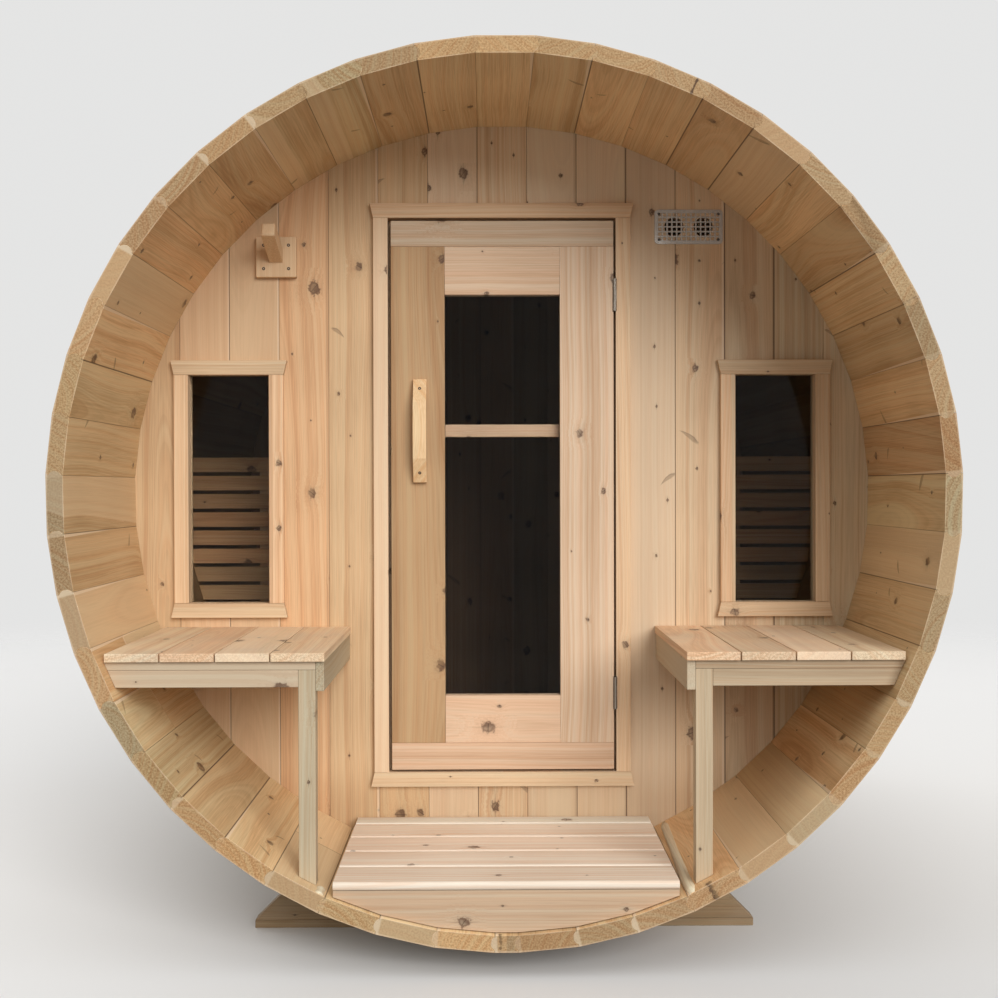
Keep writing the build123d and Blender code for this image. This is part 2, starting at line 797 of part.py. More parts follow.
# Slatted panels inside the room: slats in front of two uprights that stand on the staves
slat_front = wall_front + slat_setback
for side, name in ((-1, "left"), (1, "right")):
    with BuildPart() as slat_panel:
        with BuildSketch(front_plane(slat_front + slat_thickness)):
            for i in range(slat_count):
                with Locations((side * aisle_half_width, slat_top - slat_height / 2 - i * slat_pitch)):
                    Rectangle(
                        barrel_radius,
                        slat_height,
                        align=(Align.MIN if side > 0 else Align.MAX, Align.CENTER),
                    )
            Polygon(*ring_points(inner_corner - seat), align=None, mode=Mode.INTERSECT)
        extrude(amount=slat_thickness)
    save(slat_panel, f"slats_{name}")

    with BuildPart() as slat_uprights:
        with BuildSketch(level_plane(slat_top)):
            for x in (
                aisle_half_width + upright_inner_inset + upright_size / 2,
                slat_outer - upright_outer_inset - upright_size / 2,
            ):
                with Locations((side * x, slat_front + slat_thickness + seat + upright_size / 2)):
                    Rectangle(upright_size, upright_size)
        extrude(amount=-2 * barrel_radius)
        add(barrel_cut(slat_front, slat_front + 4 * upright_size, seat), mode=Mode.INTERSECT)
    save(slat_uprights, f"slat_uprights_{name}")

# Cradles: a board cut to the barrel's round, with sloped ends, on a base strip
cradle_low = -axis_height + base_strip + seat
for y, name in ((front_edge + cradle_inset, "cradle_front"), (-front_edge - cradle_inset, "cradle_rear")):
    with BuildPart() as cradle:
        with BuildSketch(front_plane(y + cradle_thickness / 2)):
            with BuildLine():
                Polyline(
                    (-cradle_half_length, cradle_low),
                    (cradle_half_length, cradle_low),
                    (cradle_half_length - cradle_height, cradle_low + cradle_height),
                    (-cradle_half_length + cradle_height, cradle_low + cradle_height),
                    close=True,
                )
            make_face()
            Circle(cradle_arc, mode=Mode.SUBTRACT)
        extrude(amount=cradle_thickness)
        with BuildSketch(front_plane(y + cradle_thickness / 2)):
            with Locations((0, -axis_height)):
                Rectangle(2 * cradle_half_length, base_strip, align=(Align.CENTER, Align.MIN))
        extrude(amount=cradle_thickness)
    save(cradle, name)
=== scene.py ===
from math import asin, cos, e, pi, radians, sin, sqrt

import bmesh
import bpy
from mathutils import Matrix, Vector


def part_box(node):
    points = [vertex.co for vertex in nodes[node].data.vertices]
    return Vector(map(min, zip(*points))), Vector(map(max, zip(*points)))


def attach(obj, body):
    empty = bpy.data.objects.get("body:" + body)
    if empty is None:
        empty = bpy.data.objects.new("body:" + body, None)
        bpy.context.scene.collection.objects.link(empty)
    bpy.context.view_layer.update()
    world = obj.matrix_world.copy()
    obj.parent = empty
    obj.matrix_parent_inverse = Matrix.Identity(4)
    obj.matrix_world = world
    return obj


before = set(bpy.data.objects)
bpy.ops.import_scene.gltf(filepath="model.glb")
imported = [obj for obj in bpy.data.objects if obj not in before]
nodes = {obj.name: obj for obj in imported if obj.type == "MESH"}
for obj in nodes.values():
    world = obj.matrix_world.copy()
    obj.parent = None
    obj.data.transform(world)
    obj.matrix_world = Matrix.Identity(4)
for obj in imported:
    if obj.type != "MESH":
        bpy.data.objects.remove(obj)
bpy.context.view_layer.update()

# Metres throughout: the front faces -Y, Z is up, and the barrel's axis runs along Y
STAVE_COUNT = 47
CLOSING_ANGLE = radians(3.0)
STAVE_THICKNESS = 0.038
WALL_BOARD = 0.130
DECK_PITCH = 0.130
SLAT_PITCH = 0.0556
BEAD_RADIUS = 0.0171
BEAD_CENTRE = 0.0081  # inside its own stave, from the joint
JOINED_STAVES = 0.3  # share of the staves that are two lengths
PORCH_DEPTH = 0.6
SILL_GAP = 0.0065
HEAD_GAP = 0.008
PANE_BITE = 0.008  # how deep a pane sits in its frame
BENCH_GAP = 0.003
BENCH_COUNT = 4
BASE_STRIP = 0.0193  # height of the strip under each cradle

# Axis numbers
X, Y, Z = 0, 1, 2

# Places read from the frame
ring_low, ring_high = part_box("staves_top")
rear_low, rear_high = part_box("rear_wall")
deck_low, deck_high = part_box("deck_boards")
bench_low, bench_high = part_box("bench_boards_right")
pane_low, pane_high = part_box("window_glass_right")
leaf_low, leaf_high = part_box("door_top_rail")
sill_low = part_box("door_bottom_rail")[0]
hook_low, hook_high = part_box("coat_hook")
pull_low, pull_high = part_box("door_handle")
vent_low, vent_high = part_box("vent_grille")
slat_low, slat_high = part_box("slats_right")
axis_height = (rear_low.z + rear_high.z) / 2
front_y = ring_low.y
back_y = ring_high.y
wall_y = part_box("front_wall_left")[0].y
outer_radius = ring_high.z - axis_height
inner_radius = outer_radius - STAVE_THICKNESS
stave_angle = (2 * pi - CLOSING_ANGLE) / STAVE_COUNT


# Shader values that add and multiply like numbers
class Wire:
    def __init__(self, graph, socket, factors=None):
        self.graph = graph
        self.socket = socket
        self.factors = factors  # the two values of a product, so that a sum can take it in

    def __add__(self, other):
        return self.graph.math("ADD", self, other)

    def __radd__(self, other):
        return self.graph.math("ADD", other, self)

    def __sub__(self, other):
        return self.graph.math("SUBTRACT", self, other)

    def __rsub__(self, other):
        return self.graph.math("SUBTRACT", other, self)

    def __mul__(self, other):
        return self.graph.math("MULTIPLY", self, other)

    def __rmul__(self, other):
        return self.graph.math("MULTIPLY", other, self)

    def __truediv__(self, other):
        return self.graph.math("DIVIDE", self, other)

    def __neg__(self):
        return self.graph.math("MULTIPLY", self, -1.0)


class Graph:
    """One material's node tree, with short calls for the nodes used here."""

    def __init__(self, name):
        self.material = bpy.data.materials.new(name)
        self.material.use_nodes = True
        self.tree = self.material.node_tree
        self.tree.nodes.clear()

    def feed(self, socket, value):
        if isinstance(value, Wire):
            self.tree.links.new(value.socket, socket)
        elif isinstance(value, tuple) and len(value) == 3 and socket.type == "RGBA":
            socket.default_value = (*value, 1.0)
        else:
            socket.default_value = value

    def node(self, kind, feeds, **settings):
        node = self.tree.nodes.new("ShaderNode" + kind)
        for key, value in settings.items():
            setattr(node, key, value)
        for key, value in feeds.items():
            self.feed(node.inputs[key], value)
        return node

    def math(self, operation, *values):
        """One Math node. A product and a sum become one where they can, which renders faster."""
        if operation == "SUBTRACT" and not isinstance(values[1], Wire):
            operation, values = "ADD", (values[0], -values[1])
        if operation == "ADD":
            for first, second in (values, values[::-1]):
                if isinstance(first, Wire) and first.factors:
                    operation, values = "MULTIPLY_ADD", (*first.factors, second)
                    break
        node = self.node("Math", {}, operation=operation)
        for socket, value in zip(node.inputs, values):
            self.feed(socket, value)
        return Wire(self, node.outputs[0], values if operation == "MULTIPLY" else None)

    def axes(self, output):
        """The X, Y and Z of a texture coordinate: Object for the place, Normal for the facing."""
        coordinates = self.node("TexCoord", {})
        split = self.node("SeparateXYZ", {"Vector": Wire(self, coordinates.outputs[output])})
        return [Wire(self, split.outputs[i]) for i in range(3)]

    def position(self):
        return self.axes("Object")

    def facing(self, axis):
        """1 on faces that look along an axis, 0 on the others."""
        return self.step(self.math("ABSOLUTE", self.axes("Normal")[axis]), 0.7, 0.9)

    def vector(self, x, y, z):
        return Wire(self, self.node("CombineXYZ", {"X": x, "Y": y, "Z": z}).outputs[0])

    def step(self, value, low, high):
        """0 below low and 1 above high, with a smooth rise between them."""
        feeds = {"Value": value, "From Min": low, "From Max": high}
        node = self.node("MapRange", feeds, interpolation_type="SMOOTHSTEP")
        return Wire(self, node.outputs["Result"])

    def choose(self, switch, low, high):
        """low where the switch is 0 and high where it is 1."""
        return low + (high - low) * switch

    def noise(self, vector, scale, detail=2.0, roughness=0.5):
        feeds = {"Vector": vector, "Scale": scale, "Detail": detail, "Roughness": roughness}
        return Wire(self, self.node("TexNoise", feeds, noise_dimensions="3D").outputs[0])

    def line_noise(self, value, detail=1.0, roughness=0.5):
        feeds = {"W": value, "Scale": 1.0, "Detail": detail, "Roughness": roughness}
        return Wire(self, self.node("TexNoise", feeds, noise_dimensions="1D").outputs[0])

    def chances(self, seed):
        """Three random numbers that stay the same for the same seed."""
        node = self.node("TexWhiteNoise", {"W": seed}, noise_dimensions="1D")
        split = self.node("SeparateColor", {"Color": Wire(self, node.outputs["Color"])})
        return [Wire(self, split.outputs[i]) for i in range(3)]

    def scatter(self, u, v, spacing_u, spacing_v, margin):
        """Offsets in metres from the one point in each cell of a grid, and its three chances."""
        place_u, place_v = u / spacing_u, v / spacing_v
        cell = self.vector(self.math("FLOOR", place_u), self.math("FLOOR", place_v), 0.0)
        node = self.node("TexWhiteNoise", {"Vector": cell}, noise_dimensions="2D")
        split = self.node("SeparateColor", {"Color": Wire(self, node.outputs["Color"])})
        chances = [Wire(self, split.outputs[i]) for i in range(3)]
        spot_u = self.math("FRACT", chances[0] * 37.0) * (1 - 2 * margin) + margin
        spot_v = self.math("FRACT", chances[1] * 41.0) * 0.7 + 0.15
        du = (self.math("FRACT", place_u) - spot_u) * spacing_u
        dv = (self.math("FRACT", place_v) - spot_v) * spacing_v
        return du, dv, chances

    def length(self, a, b):
        return self.math("SQRT", a * a + b * b)

    def bell(self, value):
        """1 at zero, falling away like a bell."""
        return self.math("POWER", 1 / e, value * value)

    def blend(self, factor, low, high, mode="MIX"):
        node = self.node("Mix", {}, data_type="RGBA", blend_type=mode)
        self.feed(node.inputs[0], factor)
        self.feed(node.inputs[6], low)
        self.feed(node.inputs[7], high)
        return Wire(self, node.outputs[2])

    def tint(self, colour, tone):
        """A colour as seen through a tone: the two multiplied."""
        return self.blend(1.0, colour, tone, "MULTIPLY")

    def ramp(self, factor, stops):
        node = self.node("ValToRGB", {"Fac": factor})
        band = node.color_ramp
        while len(band.elements) < len(stops):
            band.elements.new(0.5)
        for element, (place, colour) in zip(band.elements, stops):
            element.position = place
            element.color = (*colour, 1.0)
        return Wire(self, node.outputs[0])

    def finish(self, colour, roughness, height=None, depth=0.0003, **constants):
        """Ends the tree in one Principled shader, with bump where a height is given."""
        shader = self.node("BsdfPrincipled", {"Base Color": colour, "Roughness": roughness})
        for key, value in constants.items():
            shader.inputs[key.replace("_", " ")].default_value = value
        if height is not None:
            bump = self.node("Bump", {"Height": height, "Distance": depth})
            self.feed(shader.inputs["Normal"], Wire(self, bump.outputs[0]))
        output = self.node("OutputMaterial", {})
        self.tree.links.new(shader.outputs[0], output.inputs["Surface"])
        return self.material


# Board spaces: each gives a place inside one board, the board's number, how much the face is an
# end face, the plain object coordinates that run the board's way for its finest grain, the
# distance to the nearest joint and the number of that joint
class Board:
    def __init__(self, across, depth, along, number, end, plain, edge=None, joint=0.0):
        self.across = across
        self.depth = depth
        self.along = along
        self.number = number
        self.end = end
        self.plain = plain
        self.edge = edge
        self.joint = joint


def stave_space(graph):
    x, y, z = graph.position()
    up = z - axis_height
    turn = graph.math("ARCTAN2", x, up) + (pi - CLOSING_ANGLE / 2)
    place = turn / stave_angle
    number = graph.math("FLOOR", place)
    radius = graph.length(x, up)
    middle = 0.5 - graph.math("ABSOLUTE", place - number - 0.5)
    joint_number = graph.math("FLOOR", place + 0.5)
    # A stave's round bead reaches into the cove of the next one
    past = (place - number) * stave_angle * radius + BEAD_CENTRE
    bead = graph.length(past, radius - inner_radius - STAVE_THICKNESS / 2)
    number = number - graph.math("LESS_THAN", bead, BEAD_RADIUS)
    lean = (place - number - 0.5) * stave_angle
    # Some staves are two lengths, butted end to end at a place of their own
    chance, where, _ = graph.chances(number + 400.5)
    joined = graph.math("LESS_THAN", chance, JOINED_STAVES)
    joint = y - (where - 0.5) * (back_y - front_y) * 0.94
    edge = graph.math(
        "MINIMUM",
        middle * stave_angle * radius,
        graph.math("ABSOLUTE", joint) + 1.0 - joined,
    )
    number = number + joined * graph.math("GREATER_THAN", joint, 0.0) * 71.0
    depth = radius - inner_radius
    return Board(lean * radius, depth, y, number, graph.facing(Y), (x, z, y), edge, joint_number)


def row_space(along, across, pitch, start, face, seed=0.0, mirrored=False, ends=None):
    """A row of equal boards side by side: along and across are axis numbers."""
    def space(graph):
        axes = graph.position()
        value = axes[across]
        side = 0.0
        if mirrored:
            side = graph.math("SIGN", value) * 31.0
            value = graph.math("ABSOLUTE", value)
        place = (value - start) / pitch
        number = graph.math("FLOOR", place)
        offset = (place - number - 0.5) * pitch
        edge = pitch / 2 - graph.math("ABSOLUTE", offset)
        if ends:
            nearest = graph.math("MINIMUM", axes[along] - ends[0], ends[1] - axes[along])
            edge = graph.math("MINIMUM", edge, nearest)
        depth = axes[3 - along - across] - face
        joint = graph.math("FLOOR", place + 0.5) + side + seed
        number = number + side + seed
        plain = (axes[across], axes[3 - along - across], axes[along])
        return Board(offset, depth, axes[along], number, graph.facing(along), plain, edge, joint)
    return space


def piece_space(along, across, face, seed):
    """A single board, which may have a twin on the other side: they differ by the sign of X."""
    def space(graph):
        axes = graph.position()
        number = graph.math("SIGN", axes[0]) * 17.0 + seed
        depth = axes[3 - along - across] - face
        plain = (axes[across], axes[3 - along - across], axes[along])
        return Board(axes[across], depth, axes[along], number, graph.facing(along), plain)
    return space


def surround_space(low, high, face, seed, paired=False):
    """Uprights between two heights, with cross pieces above and below, round an opening."""
    def space(graph):
        x, y, z = graph.position()
        above = graph.math("GREATER_THAN", z, high)
        flat = above + graph.math("LESS_THAN", z, low)
        hand = graph.math("SIGN", x) * 13.0
        column = hand + graph.math("FLOOR", x / 0.15) * 3.1
        row = above * 5.0 + 9.0
        if paired:
            row = row + hand
        number = graph.choose(flat, column, row) + seed
        end = graph.choose(flat, graph.facing(Z), graph.facing(X))
        across, along = graph.choose(flat, x, z), graph.choose(flat, z, x)
        return Board(across, y - face, along, number, end, (across, y, along))
    return space


def scaled(colour, factor):
    return tuple(min(1.0, channel * factor) for channel in colour)


# Knotty cedar's measures and the colours of its marks
KNOT_SPACING = (0.10, 0.17)  # across and along a board
SPIKE_SPACING = (0.12, 0.24)
KNOT_MARGIN = 0.15  # share of a cell's width that is kept clear at each side
SPIKE_MARGIN = 0.34
SPIKE_COSINE, SPIKE_SINE = 0.80, 0.60  # of the slant from straight across
RING_WIDTH = 0.0029  # one year's growth
SAPWOOD_RADIUS = 0.125  # from the pith
FIBRE_FINENESS = 900.0
PORE_FINENESS = 260.0
KNOT_BROWN = (0.10, 0.045, 0.024)
CRACK_BROWN = (0.035, 0.016, 0.010)
SEAM_BROWN = (0.10, 0.052, 0.025)
WORN_GREY = (0.47, 0.42, 0.36)
# Painted shade for the faces inside the room
ROOM_SHADE_TINT = (0.38, 0.33, 0.29)
NEAR_DECK_TINT = (0.72, 0.66, 0.60)
RED_TINT = (0.97, 0.90, 0.81)
PALE_EDGE = (0.80, 0.62, 0.42)
PALE_TONGUE = (0.80, 0.64, 0.46)
DARK_TONGUE = (0.26, 0.15, 0.08)


def spike_knots(graph, board, colour, deep, ragged, phase, share):
    """Slanting brown streaks, thickest at one end, darker along their sides."""
    place_u = board.across + board.number * 0.411
    place_v = board.along + phase * 9.0
    spike_u, spike_v, (spiked, slope, mark) = graph.scatter(
        place_u, place_v, *SPIKE_SPACING, SPIKE_MARGIN
    )
    side = graph.math("SIGN", slope - 0.5)
    reach_out = spike_u * SPIKE_COSINE + spike_v * SPIKE_SINE * side
    run = reach_out / (mark * mark * 0.026 + 0.012)
    taper = graph.step(run * graph.math("SIGN", mark - 0.5), -1.6, 1.2) * (mark * 0.005 + 0.0018)
    taper = taper + 0.0018
    reach_over = spike_v * SPIKE_COSINE - spike_u * SPIKE_SINE * side
    rise = (reach_over + run * run * 0.0022) / taper
    oval = graph.length(run, rise) * (ragged * 0.4 + 0.6)
    spiky = graph.math("LESS_THAN", spiked, share) * (1.0 - board.end)
    inner = (1.0 - graph.step(oval, 0.6, 1.2)) * spiky
    colour = graph.blend(inner * 0.55, colour, scaled(deep, 0.62))
    border = graph.bell((oval - 0.95) / 0.22) * spiky * graph.step(rise + ragged, 0.2, 1.6)
    return graph.blend(border * 0.6, colour, scaled(deep, 0.34))


# Knotty cedar: growth rings round a pith of its own in every board, bent by the knots
def cedar(name, space, light, deep, sap_share=0.15, knot_share=0.5, knot_size=0.010,
          spread=0.10, roughness=0.6, joint=0.0, spikes=0.0, grey=0.0, touch=None):
    graph = Graph(name)
    board = space(graph)
    across, depth, along, number = board.across, board.depth, board.along, board.number
    shade, warmth, sappy = graph.chances(number + 0.37)
    lean, deepness, phase = graph.chances(number + 211.7)
    drift = graph.line_noise(along * 0.9 + number * 11.7) - 0.5
    pith_across = (lean - 0.5) * 0.42 + drift * 0.03
    pith_depth = deepness * 0.16 + 0.05 - drift * 0.045
    here = graph.vector(across + number * 3.3, depth, along)
    ragged = graph.noise(here, 110.0, 2.0, 0.6) * 1.5 + 0.25
    cloud = graph.noise(here, 4.5, 0.0)

    # Round knots, few of them large
    knot_u, knot_v, (present, size, tint) = graph.scatter(
        across + number * 0.613, along + phase * 5.0, *KNOT_SPACING, KNOT_MARGIN
    )
    reach = graph.length(knot_u, knot_v * 0.8) * ragged
    bigness = size * size * size * knot_size + knot_size * 0.22
    knotted = graph.math("LESS_THAN", present, knot_share)
    nearness = reach / bigness
    swell = graph.bell(nearness / 2.8) * knotted

    # Growth rings, in broad bands and in single rings, and fine streaks along the board
    radius = graph.length(across - pith_across, depth - pith_depth)
    radius = radius + swell * bigness * 1.2 + (cloud - 0.5) * 0.004
    bands = graph.line_noise(radius * 95.0 + number * 7.7, 3.0, 0.68)
    broad = graph.line_noise(radius * 22.0 + number * 3.9, 1.0, 0.5)
    ring = graph.math("FRACT", radius / RING_WIDTH + phase)
    late = graph.step(ring, 0.3, 0.88) * (1.0 - graph.step(ring, 0.9, 1.0))
    bent = across + swell * bigness
    streaky = graph.vector(bent * 300.0 + number, depth * 300.0, along * 2.2)
    streak = graph.noise(streaky, 1.0, 2.0, 0.6)
    # One noise gives fine fibres on the sides and pores on the sawn ends
    tight = graph.choose(board.end, FIBRE_FINENESS, PORE_FINENESS)
    slow = graph.choose(board.end, 16.0, PORE_FINENESS)
    side_way, deep_way, long_way = board.plain
    finest = graph.vector(side_way * tight, deep_way * tight, long_way * slow)
    fibre = graph.noise(finest, 1.0, 0.0)
    grain = (bands - 0.5) * 0.8 + (broad - 0.5) * 0.65 + (streak - 0.5) * 0.6
    grain = grain + (fibre - 0.5) * 0.35 - late * 0.09
    rough_end = (fibre - 0.5) * 1.1 + (bands - 0.5) * 0.8 - late * 0.28
    tone = graph.choose(board.end, grain, rough_end) + (cloud - 0.5) * 0.35 + 0.57
    middle = tuple((a + b) / 2 for a, b in zip(light, deep))
    stops = [(0.08, deep), (0.38, middle), (0.62, light), (0.92, scaled(light, 1.12))]
    colour = graph.ramp(tone, stops)
    redness = graph.blend(graph.step(bands, 0.3, 0.7), (1.03, 0.95, 0.90), (0.98, 1.02, 1.04))
    colour = graph.tint(colour, redness)

    # Each board has its own depth of colour, and some keep a strip of pale sapwood
    warm = graph.blend(warmth, (1.06, 0.96, 0.90), (0.96, 1.02, 1.02))
    colour = graph.tint(colour, warm)
    level = (shade - 0.5) * (2 * spread) + 1.0
    colour = graph.tint(colour, graph.vector(level, level, level))
    sap = graph.step(radius, SAPWOOD_RADIUS, SAPWOOD_RADIUS + 0.004)
    sap = sap * graph.math("LESS_THAN", sappy, sap_share)
    colour = graph.blend(sap * 0.5, colour, tuple(min(0.9, c * 1.1 + 0.06) for c in light))

    if spikes:
        colour = spike_knots(graph, board, colour, deep, ragged, phase, spikes)

    # Knots: a brown halo, a streak along the grain, a dark side, a crack and a dark rim
    halo = graph.bell(nearness / 1.6) * knotted
    colour = graph.blend(halo * 0.3, colour, scaled(deep, 0.7))
    check = graph.bell(knot_u / 0.0012) * graph.bell(knot_v / (bigness * 3.4)) * knotted
    colour = graph.blend(check * 0.55 * graph.step(tint, 0.2, 0.8), colour, scaled(deep, 0.4))
    inside = (1.0 - graph.step(nearness, 0.8, 1.15)) * knotted
    turns = graph.math("SINE", reach * 3300.0) * 0.5 + 0.5
    shadow = graph.step((knot_u + knot_v * (lean - 0.5) * 2.0) / bigness + ragged, 0.6, 1.5)
    heart = graph.blend(turns * 0.3 + shadow * 0.6, scaled(deep, 0.75), KNOT_BROWN)
    colour = graph.blend(inside * 0.9, colour, heart)
    crack = graph.bell((knot_v - knot_u * (tint * 3.0 - 1.5)) / 0.0009) * inside
    colour = graph.blend(crack * 0.8, colour, CRACK_BROWN)
    rim = graph.bell((nearness - 1.0) / 0.24) * knotted
    colour = graph.blend(rim * 0.7 * graph.step(tint, 0.1, 0.7), colour, KNOT_BROWN)

    # Time and hands leave a little grey
    if grey:
        worn = graph.step(graph.noise(here, 6.0, 3.0), 0.35, 0.75) * grey
        colour = graph.blend(worn, colour, WORN_GREY)
    height = fibre * graph.choose(board.end, 0.6, 1.2)
    if touch:
        colour = touch(graph, board, colour)
    if joint:
        loose, _, _ = graph.chances(board.joint + 0.19)
        loose = loose * loose
        width = loose * joint * 1.6 + joint * 0.6
        seam = (1.0 - graph.step(board.edge, width * 0.3, width)) * (1.0 - board.end)
        colour = graph.blend(seam * (loose * 0.5 + 0.35), colour, SEAM_BROWN)
    gloss = graph.choose(board.end, roughness + (fibre - 0.5) * 0.12, 0.8) + inside * -0.1
    return graph.finish(colour, gloss, height, 0.00025, Specular_IOR_Level=0.3)


def stave_marks(graph, board, colour):
    """Sawn ring ends are duller, with pale beads and a painted highlight along their rims; inside
    the room the staves carry painted shade; some joints show a pale edge.
    """
    brown, pale, _ = graph.chances(board.number + 77.1)
    dull = graph.blend(brown, (0.53, 0.545, 0.57), (0.70, 0.62, 0.55))
    colour = graph.blend(board.end, colour, graph.tint(colour, dull))
    half = stave_angle * outer_radius / 2
    beaded = graph.step(board.across, half - 0.009, half - 0.004)
    colour = graph.blend(board.end * beaded * pale * pale * 0.8, colour, (0.60, 0.48, 0.33))
    # Painted highlight: a pale band along the inner and outer rims of each ring end, where the
    # eased edges catch the light
    inner = 1.0 - graph.step(board.depth, 0.001, 0.0035)
    outer = graph.step(board.depth, STAVE_THICKNESS - 0.0035, STAVE_THICKNESS - 0.001)
    colour = graph.blend(board.end * (inner + outer) * 0.35, colour, (0.72, 0.56, 0.40))
    # Painted shade on the staves' faces inside the closed room
    behind = graph.math("GREATER_THAN", board.along, rear_high.y - 0.01)
    into_room = STAVE_THICKNESS / 2 - board.depth - behind
    colour = painted_room_shade(graph, board.along - wall_y, into_room, colour)
    shown, reach, _ = graph.chances(board.number + 31.3)
    taper = 1.0 - (board.along - front_y) / (reach * 0.5 * PORCH_DEPTH + 0.5 * PORCH_DEPTH)
    strip = graph.math("LESS_THAN", board.edge, taper * 0.008)
    strip = strip * graph.math("LESS_THAN", shown, 0.3)
    strip = strip * graph.math("GREATER_THAN", board.across, 0.0)
    return graph.blend(strip * (1.0 - board.end) * 0.75, colour, PALE_EDGE)


def painted_room_shade(graph, inwards, into_room, colour):
    """Painted shade: the faces inside the closed room are darkened for its dim light. Both
    distances are above nothing there.
    """
    inside = graph.step(inwards, 0.042, 0.046) * graph.math("GREATER_THAN", into_room, 0.001)
    return graph.blend(inside, colour, graph.tint(colour, ROOM_SHADE_TINT))


def rear_marks_and_shade(graph, board, colour):
    """The rear wall's marks, and painted shade on its inner side, as dark as on the room's staves.
    """
    colour = wall_edges(graph, board, colour)
    return painted_room_shade(graph, -board.depth + 0.02, 1.0, colour)


def wall_edges(graph, board, colour):
    """Boards left of the door are redder, all are browner near the deck, some show a tongue."""
    # Darker and browner towards the deck, over the lowest part of each board
    near_deck_darkening = (1.0 - graph.step(board.along, deck_high.z + 0.02, deck_high.z + 0.17)) * 0.7
    colour = graph.blend(near_deck_darkening, colour, graph.tint(colour, NEAR_DECK_TINT))
    redder = graph.math("LESS_THAN", board.number, -1.0)
    colour = graph.blend(redder, colour, graph.tint(colour, RED_TINT))
    shown, width, _ = graph.chances(board.number + 52.9)
    strip = graph.math("LESS_THAN", board.edge, width * 0.006 + 0.004)
    strip = strip * graph.math("GREATER_THAN", board.across, 0.0)
    pale = strip * graph.math("LESS_THAN", shown, 0.35)
    dark = strip * graph.math("GREATER_THAN", shown, 0.75)
    colour = graph.blend(pale * 0.45, colour, PALE_TONGUE)
    return graph.blend(dark * 0.3, colour, DARK_TONGUE)


def metal(name, base, roughness, spangle, scratch=0.3):
    """Galvanised or satin metal: faint crystals, a brushed roughness and small dull spots."""
    graph = Graph(name)
    x, y, z = graph.position()
    here = graph.vector(x, y, z)
    feeds = {"Vector": here, "Scale": spangle, "Randomness": 1.0}
    cell = graph.node("TexVoronoi", feeds)
    crystal = graph.node("SeparateColor", {"Color": Wire(graph, cell.outputs["Color"])})
    facet = Wire(graph, crystal.outputs[0])
    dull = graph.noise(here, 40.0, 4.0, 0.6)
    dark = tuple(c * 0.72 for c in base)
    colour = graph.blend(facet * 0.5 + dull * 0.5, dark, base)
    rough = roughness + (dull - 0.5) * scratch + facet * 0.08
    return graph.finish(colour, rough, dull, 0.0001, Metallic=0.9)


def glass(name):
    """Tinted pane: it passes light on to the room and mirrors what stands before it."""
    graph = Graph(name)
    x, y, z = graph.position()
    smear = graph.noise(graph.vector(x, y, z), 5.0, 1.0)
    tint = graph.blend(smear, (0.62, 0.62, 0.61), (0.70, 0.69, 0.67))
    shader = graph.node("BsdfPrincipled", {"Roughness": smear * 0.03, "Base Color": tint})
    shader.inputs["Transmission Weight"].default_value = 1.0
    shader.inputs["IOR"].default_value = 1.17
    through = graph.node("BsdfTransparent", {"Color": (0.75, 0.75, 0.74)})
    path = graph.node("LightPath", {})
    mix = graph.node("MixShader", {"Fac": Wire(graph, path.outputs["Is Shadow Ray"])})
    graph.tree.links.new(shader.outputs[0], mix.inputs[1])
    graph.tree.links.new(through.outputs[0], mix.inputs[2])
    output = graph.node("OutputMaterial", {})
    graph.tree.links.new(mix.outputs[0], output.inputs["Surface"])
    return graph.material


def nose_highlights(graph, board, colour):
    """Painted highlight: deck boards are paler along their rounded edges, where these catch the
    light.
    """
    nose = 1.0 - graph.step(board.edge, 0.006, 0.014)
    return graph.blend(nose * 0.4, colour, (0.78, 0.68, 0.56))


# Colours of the woods, from the palest to the deepest grain of each
WALL_TONES = ((0.62, 0.455, 0.295), (0.42, 0.285, 0.17))
STAVE_TONES = ((0.66, 0.47, 0.26), (0.43, 0.275, 0.13))
TRIM_TONES = ((0.63, 0.465, 0.30), (0.46, 0.31, 0.185))
STILE_TONES = ((0.45, 0.29, 0.155), (0.315, 0.18, 0.085))
DOOR_TONES = ((0.62, 0.47, 0.335), (0.46, 0.32, 0.205))
DECK_TONES = ((0.77, 0.68, 0.57), (0.64, 0.485, 0.355))
FASCIA_TONES = ((0.50, 0.39, 0.275), (0.38, 0.28, 0.185))
BENCH_TONES = ((0.72, 0.545, 0.365), (0.51, 0.355, 0.22))
FRAME_TONES = ((0.47, 0.375, 0.255), (0.345, 0.255, 0.16))
# The room floor's tones are darker than the deck's: painted shade for the dim closed room
ROOM_TONES = ((0.42, 0.32, 0.22), (0.30, 0.21, 0.14))
SLAT_TONES = ((0.54, 0.32, 0.155), (0.33, 0.175, 0.075))
HOOK_TONES = ((0.66, 0.45, 0.26), (0.45, 0.28, 0.14))
PULL_TONES = ((0.83, 0.59, 0.35), (0.66, 0.42, 0.21))
CRADLE_TONES = ((0.25, 0.175, 0.095), (0.165, 0.11, 0.055))
BEAD_TONES = ((0.68, 0.57, 0.41), (0.52, 0.42, 0.28))


def dress(names, material):
    for name in names:
        mesh = nodes[name].data
        mesh.materials.clear()
        mesh.materials.append(material)


def named(*starts):
    return [name for name in nodes if name.startswith(starts)]


stave_wood = cedar(
    "stave_cedar", stave_space, *STAVE_TONES,
    joint=0.0013, spread=0.18, sap_share=0.25, knot_share=0.4, spikes=0.2, touch=stave_marks,
)
dress(named("staves"), stave_wood)

